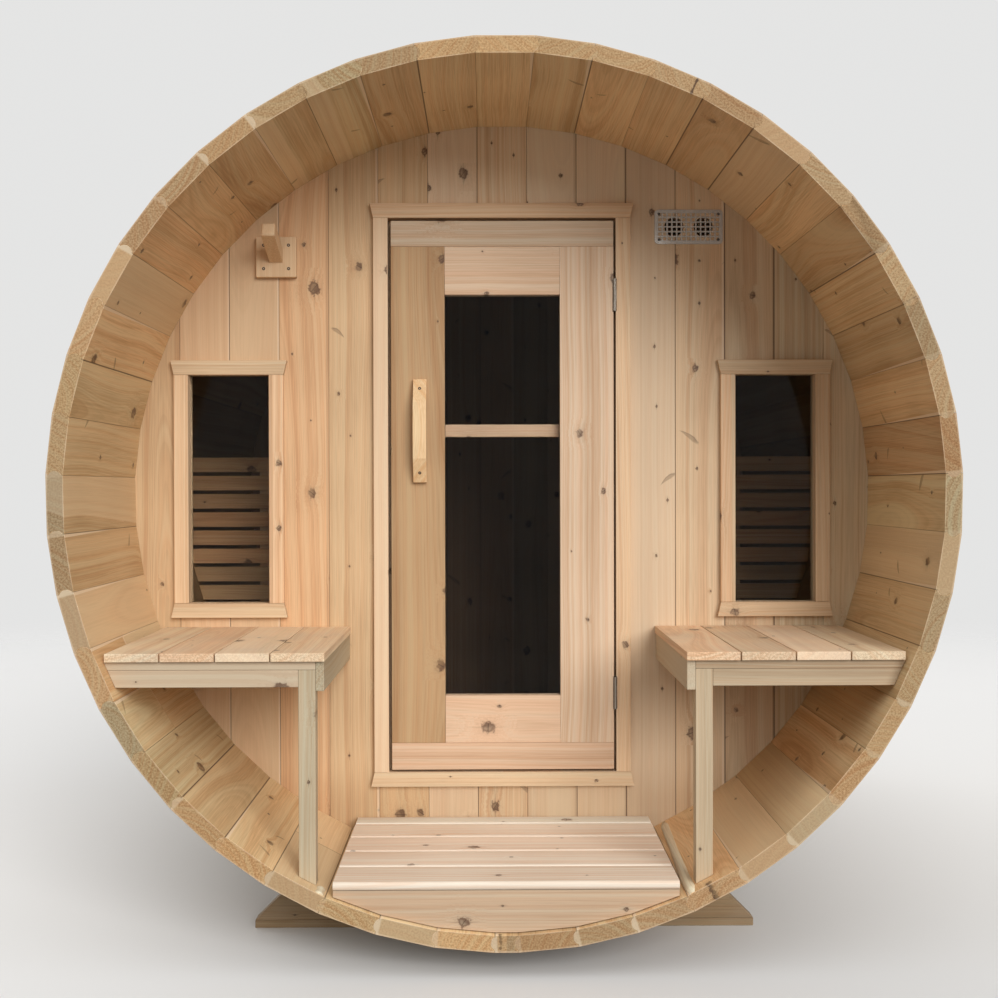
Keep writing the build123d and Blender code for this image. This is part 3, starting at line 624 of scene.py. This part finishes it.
front_rows = row_space(Z, X, WALL_BOARD, -WALL_BOARD / 2, wall_y)
rear_rows = row_space(Z, X, WALL_BOARD, -WALL_BOARD / 2, rear_high.y, seed=90.0)
for names, title, rows, edges in (
    (named("front_wall"), "wall_cedar", front_rows, wall_edges),
    (["rear_wall"], "rear_cedar", rear_rows, rear_marks_and_shade),
):
    wall_wood = cedar(
        title, rows, *WALL_TONES,
        joint=0.0015, sap_share=0.4, spread=0.12, spikes=0.25, knot_share=0.6, touch=edges,
    )
    dress(names, wall_wood)

door_round = surround_space(sill_low.z - SILL_GAP, leaf_high.z + HEAD_GAP, wall_y, 3.0)
door_trim = cedar("door_trim_cedar", door_round, *TRIM_TONES, knot_size=0.007)
dress(["door_casing", "door_frame", "door_stops"], door_trim)
window_round = surround_space(
    pane_low.z + PANE_BITE, pane_high.z - PANE_BITE, wall_y, 23.0, paired=True
)
window_trim = cedar("window_trim_cedar", window_round, *TRIM_TONES, knot_size=0.007)
dress(named("window_casing", "window_frame"), window_trim)

lock_low, lock_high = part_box("door_handle_stile")
hinge_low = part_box("door_hinge_stile")[0]
stiles = piece_space(Z, X, leaf_low.y, 41.0)
dress(["door_handle_stile"], cedar("lock_stile_cedar", stiles, *STILE_TONES, spread=0.05))
dress(["door_hinge_stile"], cedar("hinge_stile_cedar", stiles, *DOOR_TONES, spread=0.05))
rails = (
    "door_top_rail", "door_upper_rail", "door_lower_rail", "door_bottom_rail", "door_cross_bar",
)
for seed, name in enumerate(rails):
    rail_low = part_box(name)[0]
    between = rail_low.x > (lock_low.x + lock_high.x) / 2
    rail = row_space(
        X, Z, 1.0, rail_low.z - 0.45, leaf_low.y, seed=50.0 + seed,
        ends=(lock_high.x, hinge_low.x) if between else None,
    )
    dress([name], cedar(f"{name}_cedar", rail, *DOOR_TONES, spread=0.06, joint=0.001))

deck_rows = row_space(X, Y, DECK_PITCH, deck_low.y, deck_high.z, seed=120.0)
dress(["deck_boards"], cedar("deck_cedar", deck_rows, *DECK_TONES, spread=0.05, touch=nose_highlights))
floor_rows = row_space(X, Y, DECK_PITCH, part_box("room_floor")[0].y, deck_high.z, seed=160.0)
dress(["room_floor"], cedar("room_floor_cedar", floor_rows, *ROOM_TONES))
fascia = row_space(X, Z, 1.0, deck_low.z - 0.5, deck_low.y, seed=130.0)
dress(["deck_fascia"], cedar("fascia_cedar", fascia, *FASCIA_TONES))
runners = row_space(Y, X, 0.2, -0.1, deck_low.z, seed=140.0)
dress(named("deck_runners", "room_runners"), cedar("runner_cedar", runners, *BENCH_TONES))

bench_pitch = (bench_high.x - bench_low.x + BENCH_GAP) / BENCH_COUNT
bench_rows = row_space(Y, X, bench_pitch, bench_low.x, bench_high.z, seed=200.0, mirrored=True)
bench_wood = cedar("bench_board_cedar", bench_rows, *BENCH_TONES, grey=0.25, spread=0.12)
dress(named("bench_boards"), bench_wood)
posts = piece_space(Z, X, front_y, 230.0)
dress(named("bench_post"), cedar("bench_post_cedar", posts, *FRAME_TONES, knot_size=0.013))
aprons = piece_space(Y, Z, bench_low.x, 240.0)
dress(named("bench_apron"), cedar("bench_apron_cedar", aprons, *FRAME_TONES))
bench_rails = piece_space(X, Z, front_y, 250.0)
dress(named("bench_rails"), cedar("bench_rail_cedar", bench_rails, *FRAME_TONES))

slat_rows = row_space(X, Z, SLAT_PITCH, slat_high.z - 20 * SLAT_PITCH, slat_low.y, seed=300.0)
dress(named("slats"), cedar("slat_cedar", slat_rows, *SLAT_TONES))
uprights = piece_space(Z, X, slat_high.y, 320.0)
dress(named("slat_uprights"), cedar("upright_cedar", uprights, *SLAT_TONES))
hook = piece_space(Z, X, hook_high.y, 330.0)
dress(["coat_hook"], cedar("hook_cedar", hook, *HOOK_TONES, knot_share=0.2))
pull = piece_space(Z, X, pull_high.y, 340.0)
dress(["door_handle"], cedar("pull_wood", pull, *PULL_TONES, knot_share=0.0, sap_share=0.0))
cradle_rows = row_space(X, Z, 0.5, BASE_STRIP - 0.5, front_y, seed=350.0)
dress(named("cradle"), cedar("cradle_cedar", cradle_rows, *CRADLE_TONES, grey=0.1))
steel = metal("galvanised_steel", (0.40, 0.41, 0.42), 0.55, 90.0)
hinge_steel = metal("hinge_steel", (0.30, 0.27, 0.23), 0.4, 400.0, 0.2)
vent_metal = metal("vent_metal", (0.42, 0.385, 0.345), 0.42, 220.0)
dress(["steel_bands"], steel)
dress(["door_hinges", "frame_hinges"], hinge_steel)
dress(["vent_grille"], vent_metal)
dress(named("window_glass", "door_glass"), glass("clear_glass"))


# Eased edges on the wooden pieces
def ease(name, width, segments=2):
    piece = nodes[name]
    weld = piece.modifiers.new("weld", "WELD")
    weld.merge_threshold = 0.00001
    merge = piece.modifiers.new("flat_faces", "DECIMATE")
    merge.decimate_type = "DISSOLVE"
    merge.angle_limit = radians(0.5)
    bevel = piece.modifiers.new("eased_edges", "BEVEL")
    bevel.width = width
    bevel.segments = segments
    bevel.limit_method = "ANGLE"
    bevel.angle_limit = radians(35)
    bevel.use_clamp_overlap = True


eased = named("door_", "window_casing", "window_frame", "bench", "slat", "coat", "cradle")
for name in eased:
    if name not in ("door_glass", "door_hinges"):
        ease(name, 0.0014)
for name in named("staves"):
    ease(name, 0.0009, 1)
for name in named("front_wall", "rear_wall"):
    ease(name, 0.0005, 1)

# Screws, bolts and the proud beads
def new_piece(name, shape, body, material):
    mesh = bpy.data.meshes.new(name)
    shape.normal_update()
    shape.to_mesh(mesh)
    shape.free()
    mesh.materials.append(material)
    piece = bpy.data.objects.new(name, mesh)
    bpy.context.scene.collection.objects.link(piece)
    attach(piece, body)
    return piece


def ring_of(shape, place, radius, height, count=16):
    """A ring of points round a screw's or bolt's own axis."""
    turns = [2 * pi * i / count for i in range(count)]
    return [
        shape.verts.new(place @ Vector((radius * cos(turn), radius * sin(turn), height)))
        for turn in turns
    ]


def bridge(shape, first, second):
    count = len(first)
    for i in range(count):
        shape.faces.new((first[i], first[(i + 1) % count], second[(i + 1) % count], second[i]))


def add_screw(shape, centre, normal, radius, proud=0.0007):
    """A flat screw head with an eased rim and a square recess."""
    place = Matrix.Translation(centre) @ normal.to_track_quat("Z", "Y").to_matrix().to_4x4()
    hidden = ring_of(shape, place, radius, -0.001)
    rim = ring_of(shape, place, radius, proud * 0.4)
    top = ring_of(shape, place, radius * 0.86, proud)
    hole = ring_of(shape, place, radius * 0.45, proud, 4)
    floor_ring = ring_of(shape, place, radius * 0.40, proud - radius * 0.5, 4)
    bridge(shape, hidden, rim)
    bridge(shape, rim, top)
    for i in range(16):
        shape.faces.new((top[i], top[(i + 1) % 16], hole[((i + 2) // 4) % 4]))
    for i in range(4):
        shape.faces.new((top[(4 * i + 2) % 16], hole[(i + 1) % 4], hole[i]))
    bridge(shape, hole, floor_ring)
    shape.faces.new(floor_ring)


def screw_piece(name, places, radius, body):
    """One piece of screws, each given by its centre and the way it faces."""
    shape = bmesh.new()
    for centre, normal in places:
        add_screw(shape, centre, normal, radius)
    new_piece(name, shape, body, dark_screw)


def add_nut(shape, place, flats, low, high):
    """A hexagonal nut or bolt head with eased corners."""
    corner = flats / 2 / cos(pi / 6)
    ease_by = (high - low) * 0.15
    rings = [
        ring_of(shape, place, corner * 0.9, low, 6),
        ring_of(shape, place, corner, low + ease_by, 6),
        ring_of(shape, place, corner, high - ease_by, 6),
        ring_of(shape, place, corner * 0.9, high, 6),
    ]
    for first, second in zip(rings, rings[1:]):
        bridge(shape, first, second)
    shape.faces.new(list(reversed(rings[0])))
    shape.faces.new(rings[-1])


def add_rod(shape, place, radius, low, high, pitch):
    """A threaded rod: its rings step in and out once a turn."""
    turns = int((high - low) / pitch)
    rings = []
    for i in range(2 * turns + 1):
        wide = radius * (0.86 if i % 2 else 1.0)
        rings.append(ring_of(shape, place, wide, low + i * pitch / 2, 12))
    for first, second in zip(rings, rings[1:]):
        bridge(shape, first, second)
    shape.faces.new(list(reversed(rings[0])))
    shape.faces.new(rings[-1])


TOWARDS_FRONT = Vector((0, -1, 0))
dark_screw = metal("dark_screw", (0.10, 0.085, 0.075), 0.45, 500.0)

HOOK_PLATE = 0.105
HOOK_PLATE_DEPTH = 0.019
HOOK_SCREW_FROM_SIDE = 0.020
HOOK_SCREW_FROM_END = 0.022
LARGE_HEAD = 0.0042
hook_middle = (hook_low.x + hook_high.x) / 2
hook_face = hook_high.y - HOOK_PLATE_DEPTH
places = []
for side in (-1, 1):
    for up in (-1, 1):
        z = hook_low.z + HOOK_PLATE / 2 + up * (HOOK_PLATE / 2 - HOOK_SCREW_FROM_END)
        x = hook_middle + side * (HOOK_PLATE / 2 - HOOK_SCREW_FROM_SIDE)
        places.append((Vector((x, hook_face, z)), TOWARDS_FRONT))
screw_piece("hook_screws", places, LARGE_HEAD, "sauna")

VENT_SCREW_INSET = 0.0115
SMALL_HEAD = 0.0038
places = [
    (Vector((x, vent_low.y, z)), TOWARDS_FRONT)
    for x in (vent_low.x + VENT_SCREW_INSET, vent_high.x - VENT_SCREW_INSET)
    for z in (vent_low.z + VENT_SCREW_INSET, vent_high.z - VENT_SCREW_INSET)
]
screw_piece("vent_screws", places, SMALL_HEAD, "sauna")

PULL_SCREW_FROM_TIP = 0.025
PULL_TIP = 0.014
PULL_SHOULDER = 0.0405
PULL_SLOPE = 0.062
slope = (PULL_SHOULDER - PULL_TIP) / PULL_SLOPE
screw_y = pull_high.y - (PULL_TIP + slope * PULL_SCREW_FROM_TIP)
places = []
for up, tip in ((-1, pull_low.z), (1, pull_high.z)):
    centre = Vector(((pull_low.x + pull_high.x) / 2, screw_y, tip - up * PULL_SCREW_FROM_TIP))
    places.append((centre, Vector((0, -1, up * slope)).normalized()))
screw_piece("pull_screws", places, LARGE_HEAD, "door")

BAND_INSET = 0.110
BAND_CLAMP_TURN = radians(90 + 178.5) - 5.5 * stave_angle
BAND_EAR_MIDDLE = 0.0098
outward = Vector((cos(BAND_CLAMP_TURN), 0, sin(BAND_CLAMP_TURN)))
sideways = Vector((-sin(BAND_CLAMP_TURN), 0, cos(BAND_CLAMP_TURN)))
shape = bmesh.new()
for y in (front_y + BAND_INSET, 0.0, back_y - BAND_INSET):
    centre = outward * (outer_radius + BAND_EAR_MIDDLE) + Vector((0, y, axis_height))
    place = Matrix.Translation(centre) @ sideways.to_track_quat("Z", "Y").to_matrix().to_4x4()
    add_rod(shape, place, 0.003, -0.0125, 0.019, 0.001)
    add_nut(shape, place, 0.010, -0.0122, -0.0075)
    add_nut(shape, place, 0.010, 0.0075, 0.0125)
new_piece("band_bolts", shape, "sauna", steel)

BEAD_DRIFT = 0.018  # how far outwards a bead strays by the rear

# Two stave beads stand proud beside the deck: a long one on the right, a short one on the left
def add_bead(name, side, post, length, wide):
    """A rounded strip along the staves, from inside a bench post's foot, narrower to the rear."""
    middle = post - (0.0015 + wide / 2)
    shape = bmesh.new()
    sections = []
    for step in range(17):
        share = step / 16
        y = front_y + 0.003 + length * share
        half = (wide / 2 - 0.003 * share * length / PORCH_DEPTH + 0.0006 * sin(9 * share)) * sqrt(
            min(1.0, 0.25 + 12 * share) * min(1.0, 0.25 + 12 * (1 - share))
        )
        outwards = BEAD_DRIFT * max(0.0, share * length / PORCH_DEPTH - 0.2)
        bead_turn = pi - asin((middle + outwards) / inner_radius)
        section = []
        for i in range(13):
            swing = pi * i / 12
            reach = inner_radius + 0.003 - half * 0.62 * sin(swing)
            turn = bead_turn + half * cos(swing) / inner_radius
            point = (side * reach * sin(turn), y, axis_height + reach * cos(turn))
            section.append(shape.verts.new(point))
        sections.append(section)
    for first, second in zip(sections, sections[1:]):
        for i in range(12):
            shape.faces.new((first[i], first[i + 1], second[i + 1], second[i]))
    shape.faces.new(sections[0])
    shape.faces.new(list(reversed(sections[-1])))
    bmesh.ops.recalc_face_normals(shape, faces=shape.faces)
    bead = new_piece(name, shape, "sauna", bead_wood)
    for polygon in bead.data.polygons:
        polygon.use_smooth = len(polygon.vertices) == 4


bead_rows = row_space(Y, X, 1.0, -0.5, front_y, seed=370.0)
bead_wood = cedar("bead_cedar", bead_rows, *BEAD_TONES, knot_share=0.2)
post_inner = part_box("bench_post_right")[0].x
add_bead("proud_bead_right", 1, post_inner, wall_y - front_y - 0.006, 0.026)
add_bead("proud_bead_left", -1, post_inner, 0.045, 0.020)

# Stage: a pale floor, soft studio light and the camera at the photograph's angle
floor_mesh = bpy.data.meshes.new("floor")
shape = bmesh.new()
bmesh.ops.create_circle(shape, cap_ends=True, segments=96, radius=14.0)
shape.to_mesh(floor_mesh)
shape.free()
floor = bpy.data.objects.new("floor", floor_mesh)
bpy.context.scene.collection.objects.link(floor)

FLOOR_TONE = (0.74, 0.735, 0.725)
FLOOR_BOUNCE = 0.28
BACKGROUND = (0.78, 0.78, 0.775)


def floor_material():
    graph = Graph("floor_paint")
    x, y, z = graph.position()
    # The floor throws little light back up, but looks pale in the picture, in metal and in glass
    path = graph.node("LightPath", {})
    seen = Wire(graph, path.outputs["Is Camera Ray"])
    for kind in ("Is Glossy Ray", "Is Transmission Ray"):
        seen = graph.math("MAXIMUM", seen, Wire(graph, path.outputs[kind]))
    colour = graph.blend(seen, scaled(FLOOR_TONE, FLOOR_BOUNCE), FLOOR_TONE)
    shader = graph.node("BsdfPrincipled", {"Base Color": colour, "Roughness": 0.8})
    clear = graph.node("BsdfTransparent", {})
    fade = graph.step(graph.length(x, y), 3.5, 8.0)
    mix = graph.node("MixShader", {"Fac": fade})
    graph.tree.links.new(shader.outputs[0], mix.inputs[1])
    graph.tree.links.new(clear.outputs[0], mix.inputs[2])
    output = graph.node("OutputMaterial", {})
    graph.tree.links.new(mix.outputs[0], output.inputs["Surface"])
    return graph.material


floor_mesh.materials.append(floor_material())

world = bpy.data.worlds.new("studio")
bpy.context.scene.world = world
world.use_nodes = True
tree = world.node_tree
tree.nodes.clear()
path = tree.nodes.new("ShaderNodeLightPath")
seen = tree.nodes.new("ShaderNodeMath")
seen.operation = "MAXIMUM"
seen_through = tree.nodes.new("ShaderNodeMath")
seen_through.operation = "MAXIMUM"
tree.links.new(path.outputs["Is Camera Ray"], seen.inputs[0])
tree.links.new(path.outputs["Is Glossy Ray"], seen.inputs[1])
tree.links.new(seen.outputs[0], seen_through.inputs[0])
tree.links.new(path.outputs["Is Transmission Ray"], seen_through.inputs[1])
lighting = tree.nodes.new("ShaderNodeBackground")
lighting.inputs["Color"].default_value = (1.0, 1.0, 1.0, 1.0)
lighting.inputs["Strength"].default_value = 0.40
backdrop = tree.nodes.new("ShaderNodeBackground")
backdrop.inputs["Color"].default_value = (*BACKGROUND, 1.0)
backdrop.inputs["Strength"].default_value = 1.0
either = tree.nodes.new("ShaderNodeMixShader")
tree.links.new(seen_through.outputs[0], either.inputs[0])
tree.links.new(lighting.outputs[0], either.inputs[1])
tree.links.new(backdrop.outputs[0], either.inputs[2])
ending = tree.nodes.new("ShaderNodeOutputWorld")
tree.links.new(either.outputs[0], ending.inputs["Surface"])


def add_sun(name, direction, strength, softness):
    sun = bpy.data.lights.new(name, "SUN")
    sun.energy = strength
    sun.angle = radians(softness)
    holder = bpy.data.objects.new(name, sun)
    holder.rotation_euler = Vector(direction).to_track_quat("-Z", "Y").to_euler()
    bpy.context.scene.collection.objects.link(holder)


# The main light comes low from the front and a little from the right. Weaker ones come from
# above and from behind
add_sun("main_light", (-0.35, 0.85, -0.36), 2.38, 32)
add_sun("top_light", (-0.05, 0.5, -0.86), 0.95, 60)
add_sun("back_light", (0.30, -0.80, -0.52), 1.1, 70)

CAMERA_PLACE = (-0.040, -4.12, 1.0748)
CAMERA_LENS = 48.3
CAMERA_YAW = radians(0.5)
CAMERA_PITCH = radians(-0.47)
CAMERA_ROLL = radians(-0.13)

lens = bpy.data.cameras.new("photo_camera")
lens.lens = CAMERA_LENS
lens.sensor_width = 36.0
lens.sensor_fit = "HORIZONTAL"
camera = bpy.data.objects.new("photo_camera", lens)
turn = Matrix.Rotation(-CAMERA_YAW, 4, "Z") @ Matrix.Rotation(pi / 2 + CAMERA_PITCH, 4, "X")
camera.matrix_world = Matrix.Translation(CAMERA_PLACE) @ turn @ Matrix.Rotation(CAMERA_ROLL, 4, "Z")
bpy.context.scene.collection.objects.link(camera)
bpy.context.scene.camera = camera
bpy.context.scene.view_settings.view_transform = "Standard"
